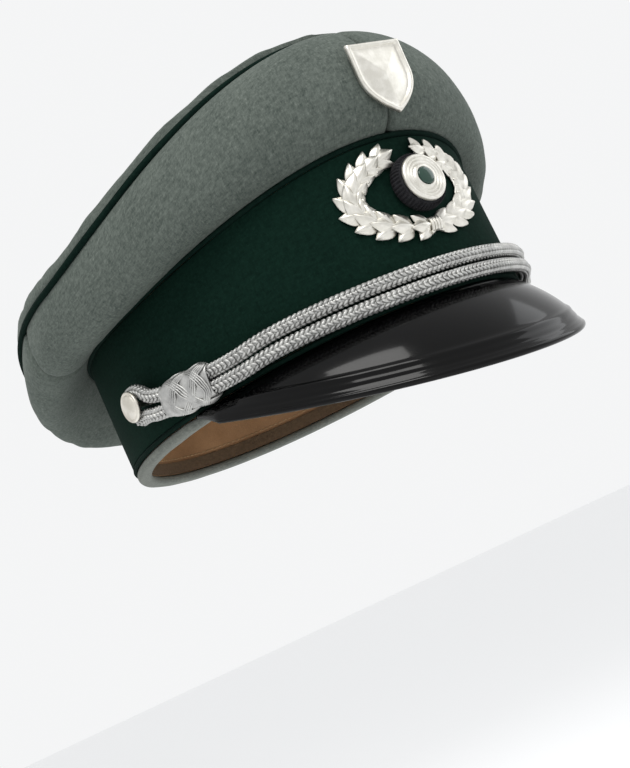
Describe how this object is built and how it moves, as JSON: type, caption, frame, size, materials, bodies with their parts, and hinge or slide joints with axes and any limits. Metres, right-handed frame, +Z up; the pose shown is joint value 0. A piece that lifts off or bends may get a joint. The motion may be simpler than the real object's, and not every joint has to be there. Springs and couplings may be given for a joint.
{
  "type": "military peaked cap",
  "caption": "Peaked service cap with a saddle-shaped wool crown, dark band, glossy visor, braided metal chin cord with sliding knots, wreath, cockade and plain shield.",
  "frame": {"origin": "centre of the head opening, level with the lower edge of the band cloth", "axes": "+Z up out of the crown, -Y towards the wearer's front and the peak, -X towards the wearer's right"},
  "size_m": [0.2152, 0.27, 0.1506],
  "materials": {
    "crown_wool": "heathered milled wool cloth",
    "hem_wool": "grey felt",
    "band_wool": "very dark green badge cloth",
    "piping": "very dark green cloth piping",
    "buckram": "stiffened buckram",
    "sweat_leather": "tan sheepskin",
    "tape": "woven tape",
    "satin": "twill satin",
    "clear_sheet": "clear celluloid",
    "wadding": "cotton wadding",
    "spring_steel": "blued spring steel",
    "brass": "plain",
    "peak_fibre": "gloss lacquered vulcanised fibre",
    "wire_cord": "braided aluminium wire",
    "button_metal": "matt silvered",
    "badge_metal": "frosted silver",
    "pad_cloth": "ribbed dark cord",
    "enamel": "dark green enamel"
  },
  "bodies": {
    "cap": {"crown_top_panel": "crown_wool", "side_panel_front_left": "crown_wool", "side_panel_front_right": "crown_wool", "side_panel_rear_left": "crown_wool", "side_panel_rear_right": "crown_wool", "hem_strip": "hem_wool", "band_cloth": "band_wool", "crown_piping": "piping", "band_top_piping": "piping", "band_bottom_piping": "piping", "band_stiffener": "buckram", "sweatband": "sweat_leather", "sweatband_tape": "tape", "lining_top": "satin", "lining_side": "satin", "sweat_shield": "clear_sheet", "front_pad": "wadding", "crown_spring_wire": "spring_steel", "front_stay": "spring_steel", "spring_wire_sleeve": "brass", "wreath_prongs": "brass", "crown_badge_prongs": "brass", "cockade_prong": "brass", "side_button_washer_right": "brass", "side_button_washer_left": "brass", "peak": "peak_fibre", "side_button_right": "button_metal", "side_button_left": "button_metal", "wreath": "badge_metal", "cockade_boss": "badge_metal", "crown_badge": "badge_metal", "cockade_pad": "pad_cloth", "cockade_centre": "enamel"},
    "chin_cord": {"chin_cord": "wire_cord"},
    "slide_right": {"cord_slide_right": "wire_cord"},
    "slide_left": {"cord_slide_left": "wire_cord"}
  },
  "joints": [
    {"name": "cord_lift", "type": "hinge", "parent": "cap", "child": "chin_cord", "pos_m": [0, -0.005, 0.0135], "axis": [-1, 0, 0], "range_deg": [0, 4]},
    {"name": "slide_right_move", "type": "slide", "parent": "chin_cord", "child": "slide_right", "axis": [0.2651, -0.9591, -0.0995], "range_m": [-0.003, 0.003]},
    {"name": "slide_left_move", "type": "slide", "parent": "chin_cord", "child": "slide_left", "axis": [-0.2651, -0.9591, -0.0995], "range_m": [-0.003, 0.003]}
  ]
}
